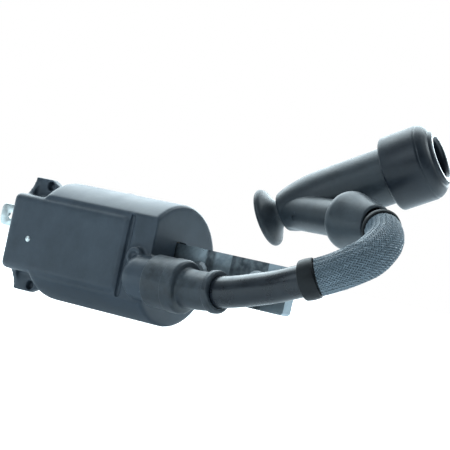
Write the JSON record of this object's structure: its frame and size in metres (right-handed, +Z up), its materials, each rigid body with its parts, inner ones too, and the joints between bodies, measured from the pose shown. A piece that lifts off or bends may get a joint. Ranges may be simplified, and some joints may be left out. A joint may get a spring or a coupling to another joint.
{
  "type": "ignition coil",
  "caption": "Moulded ignition coil on a laminated core bar, with a short high-tension lead in a braided sleeve and a side-entry spark plug cap.",
  "frame": {"origin": "centre of the core bar's bolt hole on the bar's back face", "axes": "+X along the core bar away from the coil, -Y towards the coil's flat face, +Z up across the bar"},
  "size_m": [0.1062, 0.0526, 0.0571],
  "materials": {
    "housing_moulding": "satin black thermoset, lightly textured",
    "potting_resin": "cast epoxy, glossy",
    "core_steel": "varnished electrical steel, brushed",
    "rivet_steel": "zinc plated",
    "bobbin_plastic": "natural moulded nylon",
    "copper_winding": "enamelled copper wire",
    "terminal_plate": "tin plated brass",
    "brass_parts": "turned brass",
    "black_rubber": "satin moulded rubber",
    "lead_jacket": "smooth extruded jacket",
    "braid_sleeving": "varnished glass braid",
    "band_rubber": "plain black band",
    "cap_moulding": "satin black phenolic",
    "white_ceramic": "unglazed",
    "spring_steel": "bright wire"
  },
  "bodies": {
    "coil": {"coil_housing": "housing_moulding", "potting_resin": "potting_resin", "core_lamination_1": "core_steel", "core_lamination_2": "core_steel", "core_lamination_3": "core_steel", "core_lamination_4": "core_steel", "core_lamination_5": "core_steel", "core_lamination_6": "core_steel", "core_rivet_inner": "rivet_steel", "core_rivet_outer": "rivet_steel", "primary_bobbin": "bobbin_plastic", "primary_winding": "copper_winding", "secondary_bobbin": "bobbin_plastic", "secondary_winding_1": "copper_winding", "secondary_winding_2": "copper_winding", "secondary_winding_3": "copper_winding", "secondary_winding_4": "copper_winding", "secondary_winding_5": "copper_winding", "primary_terminal": "terminal_plate", "primary_feed_wire": "copper_winding", "primary_ground_wire": "copper_winding", "secondary_output_wire": "copper_winding", "tower_pin": "brass_parts", "tower_boot": "black_rubber", "ht_lead": "lead_jacket", "ht_conductor": "copper_winding", "sleeve_band_coil": "band_rubber", "braided_sleeve": "braid_sleeving", "sleeve_band_cap": "band_rubber"},
    "plug_cap": {"cap_body": "cap_moulding", "cap_entry_seal": "black_rubber", "cap_pull_knob": "black_rubber", "cap_skirt": "black_rubber", "cap_cable_screw": "brass_parts", "cap_contact_disc": "brass_parts", "cap_contact_spring": "spring_steel", "resistor_cap_inner": "brass_parts", "resistor_body": "white_ceramic", "resistor_cap_outer": "brass_parts", "plug_socket": "brass_parts", "plug_retaining_clip": "spring_steel"}
  },
  "joints": [
    {"name": "cap_swivel", "type": "hinge", "parent": "coil", "child": "plug_cap", "pos_m": [0.02031, 0.00811, 0.0184], "axis": [0.9397, -0.342, 0], "range_deg": [-45, 45]}
  ]
}
